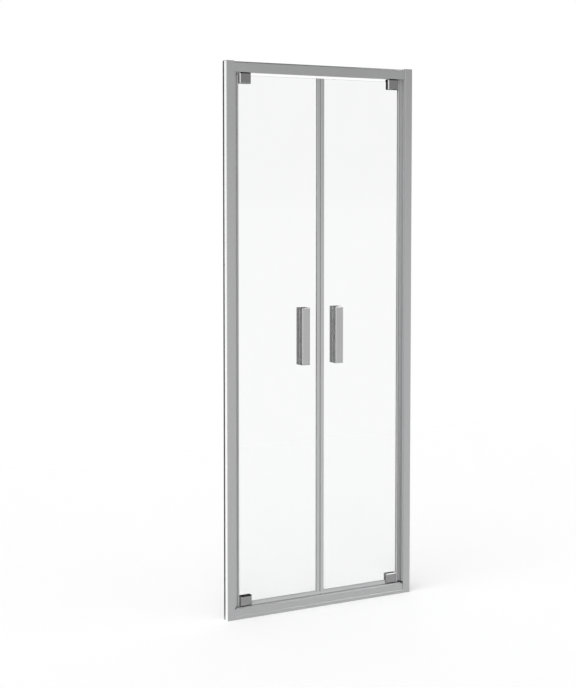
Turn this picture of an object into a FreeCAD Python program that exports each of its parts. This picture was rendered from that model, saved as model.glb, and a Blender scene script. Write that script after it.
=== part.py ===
"""Double hinged shower door: a niche frame with two glass leaves on pivot hinges.

Millimetres. +X is right seen from outside, +Y runs into the shower, +Z is up.
The origin is the middle of the sill's base. The left half is built and mirrored to the right.
"""
import FreeCAD, Part
import math
import os

V = FreeCAD.Vector

# Driving dimensions of the frame
frame_width = 760.0
frame_height = 1950.0
frame_depth = 30.0
header_height = 36.0
sill_height = 40.5
channel_reach = 29.5
post_reveal = 5.3
rebate_depth = 13.0
rebate_width = 8.4
rail_setback = 12.0

# Driving dimensions of the leaves
glass_thickness = 6.0
glass_setback = 4.0
hinge_inset = 55.0
hinge_width = 44.0
hinge_height = 37.0
hinge_plate = 8.25
pivot_inset = 14.0
pin_diameter = 8.0
pin_side = 7.0
pin_cover = 3.0
grip_screw_inset = 5.5
notch_lap = 5.0
glass_overhang = 6.0
stile_width = 13.5
handle_length = 205.0
handle_width = 31.5
handle_depth = 21.0
handle_offset = 53.0
handle_rise = 9.5
handle_hole_spacing = 150.0

# Wall thicknesses and small parts
channel_wall = 2.0
channel_web = 2.4
rail_wall = 1.8
tape_thickness = 1.0
tape_width = 17.0
tape_rim = 1.0
cap_thickness = 2.0
cap_plug = 10.0
foot_thickness = 4.0
port_inset = 6.5
port_setback = 1.5
port_wall = 1.9
port_rib = 2.0
port_slot = 1.6
bush_wall = 2.0
bush_depth = 14.0
bush_flange = 1.3
bush_flange_width = 2.5
cover_wall = 1.4
gasket_thickness = 0.75
gasket_inset = 1.0
stile_wall = 1.9
stile_web = 3.1
magnet_width = 6.0
magnet_seat = 2.0
magnet_stand = 0.9
magnet_dovetail = 0.4

# Seals
seal_wall = 1.5
seal_grip = 4.5
seal_floor = 2.0
edge_grip = 3.5
fin_root = 1.5
fin_nose = 0.6
drip_flare = 2.0

# Shaping of the extrusions, castings and glass
header_round = 5.0
sill_lip = 10.5
sill_slope_run = 4.5
sill_slope_rise = 5.0
edge_round = 0.8
hinge_bevel = 3.0
handle_bevel = 2.5
cover_bevel = 0.8
glass_arris = 0.8
notch_round = 6.0

# Fasteners
m4_shank = 1.95
m4_head = 3.5
m4_head_height = 2.4
m4_cap_height = 4.0
m4_key = 3.0
m5_shank = 2.45
m5_head = 4.25
m5_cap_height = 5.0
m5_key = 4.0
key_floor = 1.6
head_sink = 0.5
port_screw_reach = 16.0
adjust_inset = 6.0
adjust_reach = 3.0
adjust_spacing = 725.0
hinge_tap_floor = 3.5
handle_tap_floor = 6.0
wall_hole = 2.75
wall_hole_margin = 0.75
wall_hole_spacing = 550.0

# Clearances
slide_clearance = 0.3
seat_clearance = 0.1
pin_clearance = 0.05
thrust_clearance = 0.2
thread_clearance = 0.05
hole_clearance = 0.25
driver_clearance = 1.0
glass_hole_clearance = 3.0
tip_clearance = 0.5
running_clearance = 0.3
clamp_gap = 0.3
notch_clearance = 1.0
edge_gap = 9.5
meeting_gap = 3.0
seal_gap = 1.0
seal_end_gap = 0.5

# Frame positions
wall_x = -frame_width / 2
front = -frame_depth / 2
back = frame_depth / 2
channel_top = frame_height - cap_thickness
channel_lip = wall_x + channel_reach
web_face = wall_x + channel_web
rail_end = wall_x + rail_setback
rail_front = front + channel_wall + slide_clearance
rail_back = back - channel_wall - slide_clearance
header_bottom = channel_top - header_height
post_edge = channel_lip + post_reveal
post_tip = post_edge + rebate_width
post_base = sill_height + foot_thickness
rebate_face = rail_front + rebate_depth
lip_end = channel_lip + slide_clearance
port_x = rail_end + port_inset
port_y = port_setback
tape_front = front + tape_rim
tape_back = tape_front + tape_width
wall_hole_y = tape_back + wall_hole_margin + wall_hole
wall_holes = [channel_top / 2 + k * wall_hole_spacing / 2 for k in (-3, -1, 1, 3)]
adjust_x = channel_lip - adjust_inset
adjust_heights = [channel_top / 2 + k * adjust_spacing for k in (-1, 0, 1)]

# Leaf positions
leaf_middle = (sill_height + header_bottom) / 2
glass_front = glass_setback - glass_thickness / 2
glass_rear = glass_setback + glass_thickness / 2
glass_bottom = sill_height + edge_gap
glass_top = header_bottom - edge_gap
seal_top = glass_bottom + seal_grip
stile_x1 = -meeting_gap / 2
stile_x0 = stile_x1 - stile_width
stile_floor = stile_x1 - stile_web
stile_bottom = seal_top + running_clearance

# Hinge positions, at the leaf's bottom
hinge_x0 = wall_x + hinge_inset
hinge_x1 = hinge_x0 + hinge_width
hinge_z0 = sill_height + bush_flange + running_clearance
hinge_z1 = hinge_z0 + hinge_height
plate_face = glass_front - gasket_thickness
plate_front = plate_face - hinge_plate
hinge_back = 2 * glass_setback - plate_front
hinge_seat = hinge_back - m4_cap_height - head_sink
pivot_x = hinge_x0 + pivot_inset
pin_radius = pin_diameter / 2
bush_bore = pin_radius + pin_clearance
bush_radius = bush_bore + bush_wall
glass_edge = hinge_x0 - glass_overhang
notch_x = pivot_x + pin_radius + pin_side
notch_z = hinge_z1 - notch_lap
block_x = notch_x - notch_clearance
block_z = notch_z - notch_clearance
pin_end = block_z - pin_cover
clamp_x = (notch_x + hinge_x1) / 2
clamp_z = (glass_bottom + hinge_z1) / 2
grip_x = hinge_x0 + grip_screw_inset
grip_z = (hinge_z0 + notch_z) / 2
hinge_screw_spots = [(clamp_x, clamp_z), (grip_x, grip_z)]

# Handle positions
handle_x1 = -handle_offset
handle_x0 = handle_x1 - handle_width
handle_x = (handle_x0 + handle_x1) / 2
handle_middle = leaf_middle + handle_rise
handle_z0 = handle_middle - handle_length / 2
handle_z1 = handle_middle + handle_length / 2
handle_heights = [handle_middle + k * handle_hole_spacing / 2 for k in (-1, 1)]
bar_back = glass_front - gasket_thickness
bar_front = bar_back - handle_depth
rear_bar_front = glass_rear + gasket_thickness
rear_bar_back = rear_bar_front + handle_depth
handle_seat = rear_bar_back - m5_cap_height - head_sink


def flat(corners):
    return Part.Face(Part.makePolygon(corners + corners[:1]))


def upright(outline, z0, z1):
    """Extrude an outline of (x, y) points upwards."""
    return flat([V(x, y, z0) for x, y in outline]).extrude(V(0, 0, z1 - z0))


def lengthwise(outline, x0, x1):
    """Extrude an outline of (y, z) points along the frame's width."""
    return flat([V(x0, y, z) for y, z in outline]).extrude(V(x1 - x0, 0, 0))


def through(outline, y0, y1):
    """Extrude an outline of (x, z) points through the frame's depth."""
    return flat([V(x, y0, z) for x, z in outline]).extrude(V(0, y1 - y0, 0))


def rectangle(a0, a1, b0, b1):
    return [(a0, b0), (a1, b0), (a1, b1), (a0, b1)]


def turned_y(profile, x, z):
    """Revolve a profile of (radius, y) points about a level axis."""
    return flat([V(x + radius, y, z) for radius, y in profile]).revolve(V(x, 0, z), V(0, 1, 0), 360)


def turned_z(profile, x, y):
    """Revolve a profile of (radius, z) points about an upright axis."""
    return flat([V(x + radius, y, z) for radius, z in profile]).revolve(V(x, y, 0), V(0, 0, 1), 360)


def rod_x(radius, x0, x1, y, z):
    return Part.makeCylinder(radius, x1 - x0, V(x0, y, z), V(1, 0, 0))


def rod_y(radius, x, y0, y1, z):
    return Part.makeCylinder(radius, y1 - y0, V(x, y0, z), V(0, 1, 0))


def rod_z(radius, x, y, z0, z1):
    return Part.makeCylinder(radius, z1 - z0, V(x, y, z0), V(0, 0, 1))


def mirrored(shape):
    return shape.mirror(V(0, 0, 0), V(1, 0, 0))


def both(shape):
    return [shape, mirrored(shape)]


def turned_over(shape):
    """The same piece at the leaf's other end."""
    return shape.mirror(V(0, 0, leaf_middle), V(0, 0, 1))


def cut_all(shape, tools):
    return shape.cut(Part.makeCompound(tools)).removeSplitter()


def spot(vertex, axis):
    """Where a vertex lies, seen along an axis."""
    return {"x": (vertex.Y, vertex.Z), "y": (vertex.X, vertex.Z), "z": (vertex.X, vertex.Y)}[axis]


def runs_at(edge, axis, place):
    return all(math.dist(spot(v, axis), place) < 1e-6 for v in edge.Vertexes)


def rounded(shape, radius, axis, places):
    """Round the edges that run along an axis at these places."""
    edges = [e for e in shape.Edges if any(runs_at(e, axis, place) for place in places)]
    return shape.makeFillet(radius, edges)


def bevelled(shape, size, y):
    """Bevel the rim of the face that lies at this depth."""
    return shape.makeChamfer(size, [e for e in shape.Edges if all(abs(v.Y - y) < 1e-6 for v in e.Vertexes)])


def screw_profile(shank, head, tip, seat, top):
    return [(0, tip), (shank, tip), (shank, seat), (head, seat), (head, top), (0, top)]


def cap_screw(shank, head, height, key, x, z, tip, seat):
    """A hexagon socket screw driven from the shower side, its head on the seat."""
    top = seat + height
    corner = key / math.sqrt(3)
    angles = [math.radians(60 * k) for k in range(6)]
    hexagon = [(x + corner * math.cos(a), z + corner * math.sin(a)) for a in angles]
    screw = turned_y(screw_profile(shank, head, tip, seat, top), x, z)
    return screw.cut(through(hexagon, seat + key_floor, top))


def save(name, pieces):
    shape = Part.makeCompound(pieces) if isinstance(pieces, list) else pieces
    shape.exportStep(os.path.join("parts", name + ".step"))


def save_pair(name, pieces):
    shape = Part.makeCompound(pieces) if isinstance(pieces, list) else pieces
    save(name + "_left", shape)
    save(name + "_right", mirrored(shape))


channel_corners = rectangle(wall_x, channel_lip, front, back)


def make_channel():
    """The U extrusion on the wall, with wall holes beside the tape and holes for the adjusting screws."""
    inner_front = front + channel_wall
    inner_back = back - channel_wall
    outline = [
        (wall_x, front),
        (channel_lip, front),
        (channel_lip, inner_front),
        (web_face, inner_front),
        (web_face, inner_back),
        (channel_lip, inner_back),
        (channel_lip, back),
        (wall_x, back),
    ]
    section = rounded(upright(outline, 0, channel_top), edge_round, "z", channel_corners)
    holes = [rod_x(wall_hole, wall_x, web_face, wall_hole_y, z) for z in wall_holes]
    holes += [rod_y(m4_shank + hole_clearance, adjust_x, inner_back, back, z) for z in adjust_heights]
    return cut_all(section, [make_tape()] + holes)


def make_tape():
    """The foam tape, which fills a recess in the channel's wall face."""
    return upright(rectangle(wall_x, wall_x + tape_thickness, tape_front, tape_back), 0, channel_top)


def make_cap():
    """The channel's top cap, whose plug sits between the channel's web and the rail."""
    inside = back - channel_wall - seat_clearance
    plug_section = rectangle(web_face + seat_clearance, rail_end - slide_clearance, -inside, inside)
    plug = upright(plug_section, channel_top - cap_plug, channel_top)
    plate = rounded(upright(channel_corners, channel_top, frame_height), edge_round, "z", channel_corners)
    return plate.fuse(plug).removeSplitter()


post_outline = [
    (rail_end, rail_front),
    (post_edge, rail_front),
    (post_edge, rebate_face),
    (post_tip, rebate_face),
    (post_tip, rail_back),
    (rail_end, rail_back),
]


def make_post():
    """A hollow rebated extrusion with an open screw port on a rib."""
    section = flat([V(x, y, post_base) for x, y in post_outline])
    height = V(0, 0, header_bottom - post_base)
    corners = [(post_edge, rail_front), (post_tip, rebate_face), (post_tip, rail_back)]
    outer = rounded(section.extrude(height), edge_round, "z", corners)
    tube = outer.cut(section.makeOffset2D(-rail_wall, 2).extrude(height))
    bore = m4_shank + thread_clearance
    rim = bore + port_wall
    port = rod_z(rim, port_x, port_y, post_base, header_bottom)
    rib_section = rectangle(rail_end + rail_wall, port_x, port_y - port_rib / 2, port_y + port_rib / 2)
    rib = upright(rib_section, post_base, header_bottom)
    slot_section = rectangle(port_x, port_x + rim, port_y - port_slot / 2, port_y + port_slot / 2)
    slot = upright(slot_section, post_base, header_bottom)
    port_hole = rod_z(bore, port_x, port_y, post_base, header_bottom)
    taps = [rod_y(bore, adjust_x, rail_back - rail_wall, rail_back, z) for z in adjust_heights]
    return cut_all(tube.fuse([port, rib]), [port_hole, slot] + taps)


def make_foot():
    """The sealing pad between the post and the sill."""
    pad = upright(post_outline, sill_height, post_base)
    return pad.cut(rod_z(m4_shank + hole_clearance, port_x, port_y, sill_height, post_base))


def make_header():
    """A hollow rail with rounded shoulders, bored for the bushes and the corner screws."""
    outer = lengthwise(rectangle(rail_front, rail_back, header_bottom, channel_top), rail_end, -rail_end)
    outer = rounded(outer, header_round, "x", [(rail_front, channel_top), (rail_back, channel_top)])
    outer = rounded(outer, edge_round, "x", [(rail_front, header_bottom), (rail_back, header_bottom)])
    inner_front = rail_front + rail_wall
    inner_back = rail_back - rail_wall
    floor = header_bottom + rail_wall
    roof = channel_top - rail_wall
    inner = lengthwise(rectangle(inner_front, inner_back, floor, roof), rail_end, -rail_end)
    inner = rounded(inner, header_round - rail_wall, "x", [(inner_front, roof), (inner_back, roof)])
    holes = both(rod_z(bush_radius, pivot_x, glass_setback, header_bottom, floor))
    holes += both(rod_z(m4_shank + hole_clearance, port_x, port_y, header_bottom, floor))
    holes += both(rod_z(m4_head + driver_clearance, port_x, port_y, roof, channel_top))
    return cut_all(outer.cut(inner), holes)


def make_sill():
    """A hollow rail with a sloping edge, and a base lip that fills the front between the channels."""
    slope_foot = sill_height - sill_slope_rise
    slope_head = rail_front + sill_slope_run
    outline = [
        (rail_front, 0),
        (rail_front, slope_foot),
        (slope_head, sill_height),
        (rail_back, sill_height),
        (rail_back, 0),
    ]
    section = flat([V(rail_end, y, z) for y, z in outline])
    length = V(-2 * rail_end, 0, 0)
    creases = [(rail_front, slope_foot), (slope_head, sill_height)]
    outer = rounded(section.extrude(length), edge_round, "x", creases)
    lip_head = sill_lip + rail_front - front
    lip_outline = [(front, 0), (front, sill_lip), (rail_front, lip_head), (rail_front, 0)]
    lip = rounded(lengthwise(lip_outline, lip_end, -lip_end), edge_round, "x", [(front, sill_lip)])
    tube = outer.fuse(lip).cut(section.makeOffset2D(-rail_wall, 2).extrude(length))
    roof = sill_height - rail_wall
    holes = both(rod_z(bush_radius, pivot_x, glass_setback, roof, sill_height))
    holes += both(rod_z(m4_shank + hole_clearance, port_x, port_y, roof, sill_height))
    holes += both(rod_z(m4_head + driver_clearance, port_x, port_y, 0, rail_wall))
    return cut_all(tube, holes)


def make_bush():
    """The sill's bush: a closed cup with a flange under the hinge."""
    bottom = sill_height - bush_depth
    top = sill_height + bush_flange
    rim = bush_radius + bush_flange_width
    profile = [
        (0, bottom),
        (bush_radius, bottom),
        (bush_radius, sill_height),
        (rim, sill_height),
        (rim, top),
        (bush_bore, top),
        (bush_bore, bottom + bush_wall),
        (0, bottom + bush_wall),
    ]
    return turned_z(profile, pivot_x, glass_setback)


def make_sill_screw():
    """A corner screw driven from below into the post's port."""
    seat = sill_height - rail_wall
    tip = post_base + port_screw_reach
    return turned_z(screw_profile(m4_shank, m4_head, tip, seat, seat - m4_head_height), port_x, port_y)


def make_header_screw():
    """A corner screw driven from above into the post's port."""
    seat = header_bottom + rail_wall
    tip = header_bottom - port_screw_reach
    return turned_z(screw_profile(m4_shank, m4_head, tip, seat, seat + m4_head_height), port_x, port_y)


def make_adjust_screw(z):
    """A screw that clamps the post in the channel."""
    tip = rail_back - rail_wall - adjust_reach
    return turned_y(screw_profile(m4_shank, m4_head, tip, back, back + m4_head_height), adjust_x, z)


def make_screw_cover(z):
    """A snap-on cap over an adjusting screw."""
    bore = m4_head + seat_clearance
    roof = back + m4_head_height + seat_clearance
    rim = bore + cover_wall
    top = roof + cover_wall
    profile = [
        (bore, back),
        (rim, back),
        (rim, top - cover_bevel),
        (rim - cover_bevel, top),
        (0, top),
        (0, roof),
        (bore, roof),
    ]
    return turned_y(profile, adjust_x, z)


def make_glass():
    """A toughened pane: hinge notches with rounded roots, ground arrises and drilled holes."""
    upper_notch_z = 2 * leaf_middle - notch_z
    outline = [
        (notch_x, glass_bottom),
        (stile_floor, glass_bottom),
        (stile_floor, glass_top),
        (notch_x, glass_top),
        (notch_x, upper_notch_z),
        (glass_edge, upper_notch_z),
        (glass_edge, notch_z),
        (notch_x, notch_z),
    ]
    pane = through(outline, glass_front, glass_rear)
    pane = rounded(pane, notch_round, "y", [(notch_x, notch_z), (notch_x, upper_notch_z)])
    pane = bevelled(bevelled(pane, glass_arris, glass_front), glass_arris, glass_rear)
    clamp_hole = rod_y(m4_shank + glass_hole_clearance, clamp_x, glass_front, glass_rear, clamp_z)
    holes = [clamp_hole, turned_over(clamp_hole)]
    for z in handle_heights:
        holes.append(rod_y(m5_shank + glass_hole_clearance, handle_x, glass_front, glass_rear, z))
    return cut_all(pane, holes)


def make_hinge_blank():
    """One clamp plate: a bevelled front, and a block in the glass notch that grips half of the pin."""
    plate = through(rectangle(hinge_x0, hinge_x1, hinge_z0, hinge_z1), plate_front, plate_face)
    plate = bevelled(plate, hinge_bevel, plate_front)
    split = glass_setback - clamp_gap / 2
    foot_z = glass_bottom - notch_clearance
    outline = [
        (hinge_x0, hinge_z0),
        (hinge_x1, hinge_z0),
        (hinge_x1, foot_z),
        (block_x, foot_z),
        (block_x, block_z),
        (hinge_x0, block_z),
    ]
    block = through(outline, plate_face, split)
    block = rounded(block, notch_round - notch_clearance, "y", [(block_x, block_z)])
    groove = rod_z(pin_radius, pivot_x, glass_setback, hinge_z0, pin_end)
    return plate.fuse(block).removeSplitter().cut(groove)


def make_hinge_outer():
    bore = m4_shank + thread_clearance
    floor = plate_front + hinge_tap_floor
    taps = [rod_y(bore, x, floor, glass_setback, z) for x, z in hinge_screw_spots]
    return cut_all(make_hinge_blank(), taps)


def make_hinge_inner():
    blank = make_hinge_blank().mirror(V(0, glass_setback, 0), V(0, 1, 0))
    holes = []
    for x, z in hinge_screw_spots:
        holes.append(rod_y(m4_shank + hole_clearance, x, glass_setback, hinge_seat, z))
        holes.append(rod_y(m4_head + hole_clearance, x, hinge_seat, hinge_back, z))
    return cut_all(blank, holes)


def make_hinge_screws():
    tip = plate_front + hinge_tap_floor + tip_clearance
    return [
        cap_screw(m4_shank, m4_head, m4_cap_height, m4_key, x, z, tip, hinge_seat)
        for x, z in hinge_screw_spots
    ]


def make_hinge_gaskets():
    """Gaskets between the plates and both faces of the glass, cut round the notch."""
    outline = [
        (notch_x, glass_bottom),
        (hinge_x1, glass_bottom),
        (hinge_x1, hinge_z1),
        (hinge_x0, hinge_z1),
        (hinge_x0, notch_z),
        (notch_x, notch_z),
    ]
    hole = m4_shank + glass_hole_clearance
    gaskets = []
    for y0, y1 in ((plate_face, glass_front), (glass_rear, glass_rear + gasket_thickness)):
        gaskets.append(through(outline, y0, y1).cut(rod_y(hole, clamp_x, y0, y1, clamp_z)))
    return gaskets


def make_pin():
    bottom = sill_height - bush_depth + bush_wall + thrust_clearance
    return rod_z(pin_radius, pivot_x, glass_setback, bottom, pin_end)


def make_edge_seal():
    """A clip on the glass edge with a tapered fin that reaches towards the post."""
    grip = glass_edge + edge_grip
    shoulder = glass_edge - seal_wall
    nose = post_tip + seal_gap
    outline = [
        (grip, glass_front - seal_wall),
        (shoulder, glass_front - seal_wall),
        (shoulder, glass_setback - fin_root),
        (nose, glass_setback - fin_nose),
        (nose, glass_setback + fin_nose),
        (shoulder, glass_setback + fin_root),
        (shoulder, glass_rear + seal_wall),
        (grip, glass_rear + seal_wall),
        (grip, glass_rear),
        (glass_edge, glass_rear),
        (glass_edge, glass_front),
        (grip, glass_front),
    ]
    return upright(outline, sill_height + seal_gap, header_bottom - seal_gap)


def make_bottom_seal():
    """A clip under the glass whose outer leg flares outwards as a drip lip above the sill."""
    drip = sill_height + seal_gap
    floor = glass_bottom - seal_floor
    leg = glass_front - seal_wall
    outline = [
        (leg, seal_top),
        (leg, glass_bottom),
        (leg - drip_flare, drip),
        (leg - drip_flare + seal_wall, drip),
        (glass_front, floor),
        (glass_rear + seal_wall, floor),
        (glass_rear + seal_wall, seal_top),
        (glass_rear, seal_top),
        (glass_rear, glass_bottom),
        (glass_front, glass_bottom),
        (glass_front, seal_top),
    ]
    return lengthwise(outline, hinge_x1 + seal_end_gap, stile_x1 - seal_end_gap)


def magnet_section(slack):
    """The dovetail that the magnetic strip and its groove share, with its nose in front of the stile."""
    nose = magnet_width / 2 + slack
    root = nose + magnet_dovetail
    depth = stile_x1 - magnet_seat
    return [
        (depth, glass_setback - root),
        (stile_x1, glass_setback - nose),
        (stile_x1 + magnet_stand, glass_setback - nose),
        (stile_x1 + magnet_stand, glass_setback + nose),
        (stile_x1, glass_setback + nose),
        (depth, glass_setback + root),
    ]


def make_stile():
    """The meeting profile on the glass edge, grooved for the magnetic strip."""
    slot_front = glass_front - seat_clearance
    slot_rear = glass_rear + seat_clearance
    outer_front = slot_front - stile_wall
    outer_rear = slot_rear + stile_wall
    outline = [
        (stile_x0, outer_front),
        (stile_x1, outer_front),
        (stile_x1, outer_rear),
        (stile_x0, outer_rear),
        (stile_x0, slot_rear),
        (stile_floor, slot_rear),
        (stile_floor, slot_front),
        (stile_x0, slot_front),
    ]
    corners = rectangle(stile_x0, stile_x1, outer_front, outer_rear)
    section = rounded(upright(outline, stile_bottom, glass_top), edge_round, "z", corners)
    return section.cut(upright(magnet_section(seat_clearance), stile_bottom, glass_top))


def make_magnet():
    return upright(magnet_section(0), stile_bottom, glass_top)


def make_handle_outer():
    bar = through(rectangle(handle_x0, handle_x1, handle_z0, handle_z1), bar_front, bar_back)
    bore = m5_shank + thread_clearance
    floor = bar_front + handle_tap_floor
    taps = [rod_y(bore, handle_x, floor, bar_back, z) for z in handle_heights]
    return cut_all(bevelled(bar, handle_bevel, bar_front), taps)


def make_handle_inner():
    bar = through(rectangle(handle_x0, handle_x1, handle_z0, handle_z1), rear_bar_front, rear_bar_back)
    holes = []
    for z in handle_heights:
        holes.append(rod_y(m5_shank + hole_clearance, handle_x, rear_bar_front, handle_seat, z))
        holes.append(rod_y(m5_head + hole_clearance, handle_x, handle_seat, rear_bar_back, z))
    return cut_all(bevelled(bar, handle_bevel, rear_bar_back), holes)


def make_handle_screws():
    tip = bar_front + handle_tap_floor + tip_clearance
    return [
        cap_screw(m5_shank, m5_head, m5_cap_height, m5_key, handle_x, z, tip, handle_seat)
        for z in handle_heights
    ]


def make_handle_gaskets():
    """Gaskets between the bars and both faces of the glass, a little smaller than the bars."""
    hole = m5_shank + glass_hole_clearance
    x0 = handle_x0 + gasket_inset
    x1 = handle_x1 - gasket_inset
    z0 = handle_z0 + gasket_inset
    z1 = handle_z1 - gasket_inset
    gaskets = []
    for y0, y1 in ((bar_back, glass_front), (glass_rear, rear_bar_front)):
        gasket = through(rectangle(x0, x1, z0, z1), y0, y1)
        gaskets.append(cut_all(gasket, [rod_y(hole, handle_x, y0, y1, z) for z in handle_heights]))
    return gaskets


os.makedirs("parts", exist_ok=True)

save_pair("wall_channel", make_channel())
save_pair("wall_tape", make_tape())
save_pair("channel_cap", make_cap())
save_pair("jamb_post", make_post())
save_pair("post_foot", make_foot())
save("header_rail", make_header())
save("sill_rail", make_sill())

bush = make_bush()
save("lower_bushes", both(bush))
save("upper_bushes", both(turned_over(bush)))
save("corner_screws", both(make_sill_screw()) + both(make_header_screw()))
save("adjust_screws", [s for z in adjust_heights for s in both(make_adjust_screw(z))])
save("screw_covers", [s for z in adjust_heights for s in both(make_screw_cover(z))])

outer_plate = make_hinge_outer()
inner_plate = make_hinge_inner()
pin = make_pin()
gaskets = make_hinge_gaskets()
screws = make_hinge_screws()
save_pair("glass", make_glass())
save_pair("hinge_bottom_outer", outer_plate)
save_pair("hinge_bottom_inner", inner_plate)
save_pair("hinge_top_outer", turned_over(outer_plate))
save_pair("hinge_top_inner", turned_over(inner_plate))
save_pair("pivot_pins", [pin, turned_over(pin)])
save_pair("hinge_gaskets", gaskets + [turned_over(g) for g in gaskets])
save_pair("hinge_screws", screws + [turned_over(s) for s in screws])
save_pair("edge_seal", make_edge_seal())
save_pair("bottom_seal", make_bottom_seal())
save_pair("meeting_stile", make_stile())
save_pair("magnet_strip", make_magnet())
save_pair("handle_outer", make_handle_outer())
save_pair("handle_inner", make_handle_inner())
save_pair("handle_screws", make_handle_screws())
save_pair("handle_gaskets", make_handle_gaskets())
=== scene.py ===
import math

import bpy
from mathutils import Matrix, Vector

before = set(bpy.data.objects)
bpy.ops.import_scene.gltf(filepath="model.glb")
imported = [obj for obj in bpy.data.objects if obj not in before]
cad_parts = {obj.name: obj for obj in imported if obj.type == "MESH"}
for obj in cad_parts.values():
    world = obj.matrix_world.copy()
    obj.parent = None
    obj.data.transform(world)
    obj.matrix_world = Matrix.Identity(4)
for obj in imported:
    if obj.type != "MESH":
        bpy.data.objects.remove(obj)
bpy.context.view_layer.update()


# Camera at the photograph's viewing angle: places in metres, angles in degrees, lens in millimetres

CAMERA_PLACE = (-2.4833, -4.3116, 1.4947)
CAMERA_TURN_RIGHT = 28.604
CAMERA_TILT_DOWN = 3.368
CAMERA_LENS = 72.69
CAMERA_SHIFT_Y = -0.10
CAMERA_REACH = 200.0

# Studio

FLOOR_REACH = 3.0
FLOOR_TONE = 0.86
FLOOR_LIFT = 0.107
AMBIENT = 0.62
SURROUND = 1.0
SUN_STRENGTH = 1.9
SUN_ANGLE = 60.0
SUN_FROM = Vector((-0.60, -0.42, 0.70))
PART_MIDDLE = Vector((0.0, 0.0, 0.975))
DOWNWARD = Vector((0.0, 0.01, -1.0))
FRONTWARD = Vector((0.0, -1.0, 0.0))

# Surface patterns: scales in repeats per metre, tones as factors of the colour

NOISE_ROUGHNESS = 0.55
DIE_LINES = 1400.0
DIE_LINE_STRETCH = 9.0
DIE_LINE_SHARE = 0.6
DIE_TONES = (0.95, 1.05)
SHEEN_CLOUD = 7.0
SHEEN_CLOUD_SHARE = 0.4
WIPE_MARKS = (60.0, 60.0, 22.0)
WIPE_TONE = 0.96
PLATE_SPECKS = 900.0
MOULD_CLOUD = 45.0
MOULD_GRAIN = 900.0
MOULD_SPREAD = 0.08
FOAM_CELLS = 700.0
FOAM_CLOUD = 30.0
ROLLER_WAVE = (5.0, 5.0, 2.0)
GLASS_FILM = (14.0, 14.0, 5.0)
SEAL_LINES = (1200.0, 1200.0, 12.0)
SEAL_CLOUD = (40.0, 40.0, 12.0)

# Colours

ALUMINIUM = (0.440, 0.442, 0.446, 1.0)
STILE_ALUMINIUM = (0.49, 0.492, 0.496, 1.0)
HINGE_PLATE = (0.28, 0.28, 0.283, 1.0)
HANDLE_PLATE = (0.44, 0.44, 0.444, 1.0)
STEEL = (0.58, 0.57, 0.56, 1.0)
GLASS_DARK = (0.940, 0.943, 0.942, 1.0)
GLASS_LIGHT = (0.955, 0.957, 0.956, 1.0)
GLASS_EDGE = (0.80, 0.95, 0.89, 1.0)
SEAL_DARK = (0.53, 0.533, 0.537, 1.0)
SEAL_LIGHT = (0.58, 0.583, 0.587, 1.0)


class Nodes:
    """A node tree with short calls for adding, setting and linking its nodes."""

    def __init__(self, tree):
        self.tree = tree
        tree.nodes.clear()

    def add(self, kind, settings=None, **inputs):
        """A new node. Inputs go by name, with _ for a space, or by number as i0, i1 and so on."""
        node = self.tree.nodes.new(kind)
        for name, value in (settings or {}).items():
            setattr(node, name, value)
        for name, value in inputs.items():
            self.feed(node, name.replace("_", " "), value)
        return node

    def feed(self, node, name, value):
        by_number = name[0] == "i" and name[1:].isdigit()
        socket = node.inputs[int(name[1:]) if by_number else name]
        if isinstance(value, bpy.types.NodeSocket):
            self.tree.links.new(value, socket)
        else:
            socket.default_value = value

    def math(self, operation, *values):
        inputs = {f"i{number}": value for number, value in enumerate(values)}
        return self.add("ShaderNodeMath", {"operation": operation}, **inputs).outputs[0]

    def blend(self, factor, first, second):
        node = self.add("ShaderNodeMix", {"data_type": "FLOAT"}, i0=factor, i2=first, i3=second)
        return node.outputs[0]

    def tint(self, factor, first, second):
        node = self.add("ShaderNodeMix", {"data_type": "RGBA"}, i0=factor, i6=first, i7=second)
        return node.outputs[2]

    def ramp(self, value, low, high):
        node = self.add("ShaderNodeMapRange", i0=value, i1=0.0, i2=1.0, i3=low, i4=high)
        return node.outputs[0]

    def fade(self, value, start, end):
        """From 1 at the start smoothly down to 0 at the end."""
        settings = {"interpolation_type": "SMOOTHSTEP"}
        node = self.add("ShaderNodeMapRange", settings, i0=value, i1=start, i2=end, i3=1.0, i4=0.0)
        return node.outputs[0]

    def place(self, scale):
        coordinates = self.add("ShaderNodeTexCoord").outputs["Object"]
        return self.add("ShaderNodeMapping", Vector=coordinates, Scale=scale).outputs[0]

    def noise(self, scale, detail=3.0):
        node = self.add(
            "ShaderNodeTexNoise",
            Vector=self.place(scale),
            Scale=1.0,
            Detail=detail,
            Roughness=NOISE_ROUGHNESS,
        )
        return node.outputs["Fac"]

    def cells(self, scale):
        node = self.add("ShaderNodeTexVoronoi", Vector=self.place(scale), Scale=1.0)
        return node.outputs["Distance"]

    def bump(self, height, strength, distance):
        node = self.add("ShaderNodeBump", Height=height, Strength=strength, Distance=distance)
        return node.outputs[0]

    def light_path(self):
        return self.add("ShaderNodeLightPath").outputs

    def seen(self, path):
        """1 for what the camera sees straight, mirrored or through glass, and 0 for the rest."""
        seen = self.math("MAXIMUM", path["Is Camera Ray"], path["Is Glossy Ray"])
        return self.math("MAXIMUM", seen, path["Is Transmission Ray"])

    def principled(self, **inputs):
        return self.add("ShaderNodeBsdfPrincipled", **inputs).outputs[0]

    def output(self, shader, volume=None):
        node = self.add("ShaderNodeOutputMaterial", Surface=shader)
        if volume is not None:
            self.feed(node, "Volume", volume)


def even(scale):
    return (scale, scale, scale)


def grey(value):
    return (value, value, value, 1.0)


def toned(colour, factor):
    return tuple(part * factor for part in colour[:3]) + (1.0,)


def start_material(name):
    material = bpy.data.materials.new(name)
    material.use_nodes = True
    return material, Nodes(material.node_tree)


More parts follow.
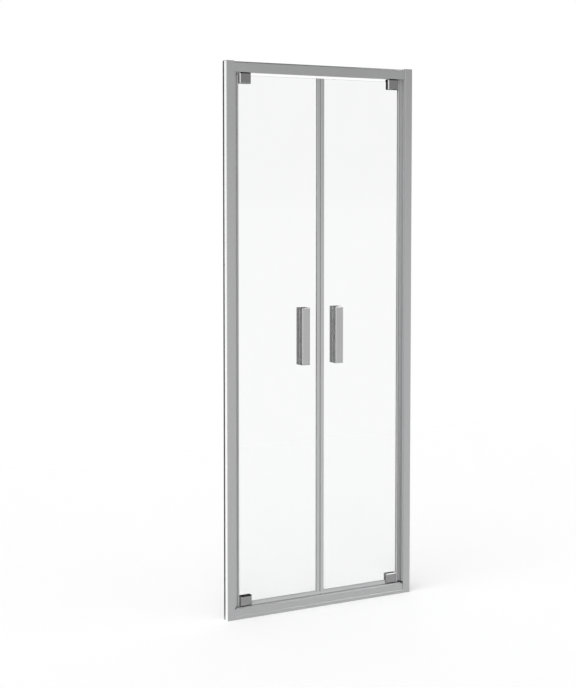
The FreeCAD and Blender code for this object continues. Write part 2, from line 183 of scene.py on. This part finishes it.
def brushed_metal(name, colour, roughness, along, spread=0.05, relief=0.12):
    """Satin extrusion: fine die lines along one axis and a soft, wide change of sheen."""
    material, nodes = start_material(name)
    line_scale = [DIE_LINE_STRETCH if axis == along else DIE_LINES for axis in "XYZ"]
    lines = nodes.noise(line_scale, detail=2.0)
    cloud = nodes.noise(even(SHEEN_CLOUD))
    cloud_part = nodes.math("MULTIPLY", cloud, SHEEN_CLOUD_SHARE)
    sheen = nodes.math("MULTIPLY_ADD", lines, DIE_LINE_SHARE, cloud_part)
    darker, lighter = (toned(colour, factor) for factor in DIE_TONES)
    shader = nodes.principled(
        Base_Color=nodes.tint(sheen, darker, lighter),
        Metallic=1.0,
        Roughness=nodes.ramp(sheen, roughness - spread, roughness + spread),
        Normal=nodes.bump(lines, strength=relief, distance=0.00006),
    )
    nodes.output(shader)
    return material


def polished_metal(name, colour, roughness, spread=0.03, relief=0.02):
    """Bright plate: faint wipe marks in the gloss and a barely uneven surface."""
    material, nodes = start_material(name)
    wipes = nodes.noise(WIPE_MARKS, detail=5.0)
    specks = nodes.noise(even(PLATE_SPECKS), detail=1.0)
    shader = nodes.principled(
        Base_Color=nodes.tint(wipes, toned(colour, WIPE_TONE), colour),
        Metallic=1.0,
        Roughness=nodes.ramp(wipes, roughness - spread, roughness + spread),
        Normal=nodes.bump(specks, strength=relief, distance=0.00004),
    )
    nodes.output(shader)
    return material


def moulded(name, dark, light, roughness):
    """Moulded plastic or rubber: a fine eroded grain and a slightly uneven colour."""
    material, nodes = start_material(name)
    cloud = nodes.noise(even(MOULD_CLOUD))
    grain = nodes.noise(even(MOULD_GRAIN), detail=2.0)
    shader = nodes.principled(
        Base_Color=nodes.tint(cloud, grey(dark), grey(light)),
        Roughness=nodes.ramp(grain, roughness - MOULD_SPREAD, roughness + MOULD_SPREAD),
        Specular_IOR_Level=0.4,
        Normal=nodes.bump(grain, strength=0.25, distance=0.00008),
    )
    nodes.output(shader)
    return material


def foam_tape(name):
    """White closed-cell foam: small soft cells."""
    material, nodes = start_material(name)
    cells = nodes.cells(even(FOAM_CELLS))
    cloud = nodes.noise(even(FOAM_CLOUD))
    shader = nodes.principled(
        Base_Color=nodes.tint(cloud, grey(0.86), grey(0.93)),
        Roughness=nodes.ramp(cells, low=0.8, high=0.95),
        Specular_IOR_Level=0.2,
        Normal=nodes.bump(cells, strength=0.3, distance=0.0002),
    )
    nodes.output(shader)
    return material


def clear_glass(name):
    """Toughened float glass: faint roller wave, and a green tint that shows only along the edges."""
    material, nodes = start_material(name)
    wave = nodes.noise(ROLLER_WAVE, detail=1.0)
    film = nodes.noise(GLASS_FILM, detail=4.0)
    shader = nodes.principled(
        Base_Color=nodes.tint(film, GLASS_DARK, GLASS_LIGHT),
        Roughness=0.0,
        IOR=1.5,
        Transmission_Weight=1.0,
        Normal=nodes.bump(wave, strength=0.03, distance=0.002),
    )
    volume = nodes.add("ShaderNodeVolumeAbsorption", Color=GLASS_EDGE, Density=2.5)
    nodes.output(shader, volume.outputs[0])
    return material


def milky_seal(name):
    """Flexible extrusion: milky grey, a little translucent, with drawn lines along its length."""
    material, nodes = start_material(name)
    lines = nodes.noise(SEAL_LINES, detail=2.0)
    cloud = nodes.noise(SEAL_CLOUD)
    shader = nodes.principled(
        Base_Color=nodes.tint(cloud, SEAL_DARK, SEAL_LIGHT),
        Roughness=nodes.ramp(lines, low=0.34, high=0.48),
        IOR=1.45,
        Transmission_Weight=0.18,
        Normal=nodes.bump(lines, strength=0.2, distance=0.00008),
    )
    nodes.output(shader)
    return material


# Finishes by the record's slots. Rails and uprights share a slot but have their die lines along their
# own length. The gaskets' slot is near black in the hinges, which is painted shade in the joints
# there, and pale under the handles, which is partly their own pale colour and partly painted light on
# the strip that the bars shade.

upright_aluminium = brushed_metal("aluminium_upright", ALUMINIUM, 0.42, "Z")
lengthwise_aluminium = brushed_metal("aluminium_lengthwise", ALUMINIUM, 0.42, "X")

finishes = {
    "stile_aluminium": brushed_metal("aluminium_stile", STILE_ALUMINIUM, 0.34, "Z"),
    "sealing_tape": foam_tape("white_foam"),
    "cap_plastic": moulded("grey_cap", 0.30, 0.34, 0.4),
    "dark_rubber": moulded("dark_pad", 0.018, 0.030, 0.7),
    # Dark bush: partly its own dark acetal, partly painted shade under the hinge blocks.
    "bush_plastic": moulded("dark_bush_painted_shade", 0.05, 0.07, 0.45),
    "screw_steel": polished_metal("screw_steel", STEEL, 0.26, spread=0.06, relief=0.05),
    "pin_steel": polished_metal("pin_steel", STEEL, 0.18, spread=0.05, relief=0.04),
    "cover_plastic": moulded("grey_cover", 0.40, 0.45, 0.45),
    "clear_glass": clear_glass("clear_glass"),
    "hinge_chrome": polished_metal("hinge_plate", HINGE_PLATE, 0.10),
    "handle_chrome": brushed_metal("handle_plate", HANDLE_PLATE, 0.24, "Z", spread=0.02, relief=0.04),
    # Pale handle gaskets: partly their own colour, partly painted light on the strip the bars shade.
    "gasket_rubber": moulded("pale_gasket_painted_light", 0.80, 0.85, 0.55),
    "seal_plastic": milky_seal("milky_seal"),
    "magnet_rubber": moulded("magnet_strip", 0.38, 0.44, 0.55),
}
# Near-black copy of the gasket finish for the hinges: painted shade in the hinge joints.
hinge_gasket_painted_shade = moulded("hinge_gasket_painted_shade", 0.02, 0.03, 0.6)

RAILS = ("header_rail", "sill_rail")


def finish_for(node_name, slot_name):
    if slot_name == "frame_aluminium":
        return lengthwise_aluminium if node_name in RAILS else upright_aluminium
    # Hinge gaskets take the painted-shade copy of the gasket finish.
    if node_name.startswith("hinge_gaskets"):
        return hinge_gasket_painted_shade
    return finishes[slot_name]


for name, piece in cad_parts.items():
    slot = piece.material_slots[0]
    if slot.name == "clear_glass":
        piece.visible_shadow = False
    slot.material = finish_for(name, slot.name)


def make_floor():
    """A wide pale floor. It is lifted a little where it is seen, and its light on the part is not."""
    mesh = bpy.data.meshes.new("floor")
    corners = [(-1, -1), (1, -1), (1, 1), (-1, 1)]
    points = [(x * FLOOR_REACH, y * FLOOR_REACH, 0.0) for x, y in corners]
    mesh.from_pydata(points, [], [(0, 1, 2, 3)])
    floor = bpy.data.objects.new("floor", mesh)
    bpy.context.collection.objects.link(floor)
    material, nodes = start_material("pale_floor")
    lift_strength = nodes.math("MULTIPLY", nodes.seen(nodes.light_path()), FLOOR_LIFT)
    paint = nodes.add("ShaderNodeBsdfDiffuse", Color=grey(FLOOR_TONE))
    lift = nodes.add("ShaderNodeEmission", Strength=lift_strength)
    both = nodes.add("ShaderNodeAddShader", i0=paint.outputs[0], i1=lift.outputs[0])
    nodes.output(both.outputs[0])
    mesh.materials.append(material)


def make_world():
    """A white surround where it is seen, and plain soft light for the rest."""
    world = bpy.data.worlds.new("studio")
    world.use_nodes = True
    nodes = Nodes(world.node_tree)
    path = nodes.light_path()
    scattered = nodes.math("MINIMUM", path["Diffuse Depth"], 1.0)
    shown = nodes.math("MULTIPLY", nodes.seen(path), nodes.math("SUBTRACT", 1.0, scattered))
    strength = nodes.blend(shown, AMBIENT, SURROUND)
    background = nodes.add("ShaderNodeBackground", Color=grey(1.0), Strength=strength)
    nodes.add("ShaderNodeOutputWorld", Surface=background.outputs[0])
    bpy.context.scene.world = world


def make_sun():
    data = bpy.data.lights.new("sun", "SUN")
    data.energy = SUN_STRENGTH
    data.angle = math.radians(SUN_ANGLE)
    sun = bpy.data.objects.new("sun", data)
    sun.rotation_euler = SUN_FROM.to_track_quat("Z", "Y").to_euler()
    bpy.context.collection.objects.link(sun)


def make_card(name, place, size, tone, core=0.6, facing=None):
    """A studio card that shows only in reflections.

    The core is the share of the card at full tone, and its edges fade out from there.
    It faces the part's middle unless a direction is given.
    """
    half_width, half_height = size[0] / 2, size[1] / 2
    corners = [(-1, -1), (1, -1), (1, 1), (-1, 1)]
    points = [(x * half_width, y * half_height, 0) for x, y in corners]
    mesh = bpy.data.meshes.new(name)
    mesh.from_pydata(points, [], [(0, 1, 2, 3)])
    material, nodes = start_material(name)
    spot = nodes.place((1 / half_width, 1 / half_height, 1.0))
    across = nodes.add("ShaderNodeSeparateXYZ", Vector=spot).outputs
    sideways, upward = (nodes.math("ABSOLUTE", across[axis]) for axis in (0, 1))
    reach = nodes.math("MAXIMUM", sideways, upward)
    mirrored = nodes.math("MINIMUM", nodes.light_path()["Glossy Depth"], 1.0)
    shown = nodes.math("MULTIPLY", nodes.fade(reach, core, 1.0), mirrored)
    clear = nodes.add("ShaderNodeBsdfTransparent").outputs[0]
    glow = nodes.add("ShaderNodeEmission", Color=grey(1.0), Strength=tone).outputs[0]
    nodes.output(nodes.add("ShaderNodeMixShader", i0=shown, i1=clear, i2=glow).outputs[0])
    mesh.materials.append(material)
    card = bpy.data.objects.new(name, mesh)
    card.location = place
    direction = PART_MIDDLE - Vector(place) if facing is None else facing
    card.rotation_euler = direction.to_track_quat("Z", "Y").to_euler()
    card.visible_camera = False
    card.visible_diffuse = False
    card.visible_shadow = False
    bpy.context.collection.objects.link(card)


make_floor()
make_world()
make_sun()

# Flags are dark cards, for the dark lines on edges and sides.
# Softboxes are bright ones, for the light lines.

make_card("handle_flag", (-0.90, 1.50, 0.82), (0.66, 1.1), 0.14, 0.75)
make_card("hinge_flag", (-0.70, 1.50, 2.03), (0.7, 0.5), 0.02)
make_card("near_left_flag", (-0.412, 0.036, 0.98), (0.056, 2.1), 0.02, 0.9, FRONTWARD)
make_card("rear_right_flag", (2.45, 4.25, 1.47), (3.0, 2.0), 0.03)
make_card("front_flag", (1.55, -2.80, 2.40), (2.8, 2.6), 0.68)
make_card("ceiling_flag", (0.80, 1.00, 2.95), (3.0, 3.0), 0.10, 0.8)
make_card("header_flag", (0.60, -0.88, 3.00), (1.20, 1.3), 0.02, 0.85, DOWNWARD)
make_card("bevel_flag", (1.22, -0.96, 2.98), (0.52, 0.5), 0.02, 0.8, DOWNWARD)
make_card("slope_flag", (1.90, -1.84, 3.08), (2.8, 1.36), 0.04, 0.85, DOWNWARD)
make_card("rear_left_softbox", (-1.26, 2.60, 1.00), (0.8, 3.4), 1.7, 0.7)
make_card("upper_side_softbox", (-2.60, -1.45, 2.20), (1.9, 1.2), 2.6)
make_card("front_left_softbox", (-0.97, -2.00, 0.95), (1.2, 2.6), 2.4, 0.75)
make_card("lower_side_softbox", (-2.60, -1.45, 0.80), (1.9, 1.8), 1.3)
make_card("hinge_softbox", (2.18, -0.90, 2.95), (0.5, 0.5), 3.6, 0.6, DOWNWARD)
make_card("lip_softbox", (1.95, -0.45, 3.10), (1.9, 1.4), 4.8, 0.85, DOWNWARD)

camera_data = bpy.data.cameras.new("photo_camera")
camera_data.lens = CAMERA_LENS
camera_data.shift_y = CAMERA_SHIFT_Y
camera_data.clip_end = CAMERA_REACH
camera = bpy.data.objects.new("photo_camera", camera_data)
camera.location = CAMERA_PLACE
camera.rotation_euler = (
    math.radians(90.0 - CAMERA_TILT_DOWN),
    0.0,
    math.radians(-CAMERA_TURN_RIGHT),
)
bpy.context.collection.objects.link(camera)
bpy.context.scene.camera = camera
bpy.context.scene.view_settings.view_transform = "Standard"
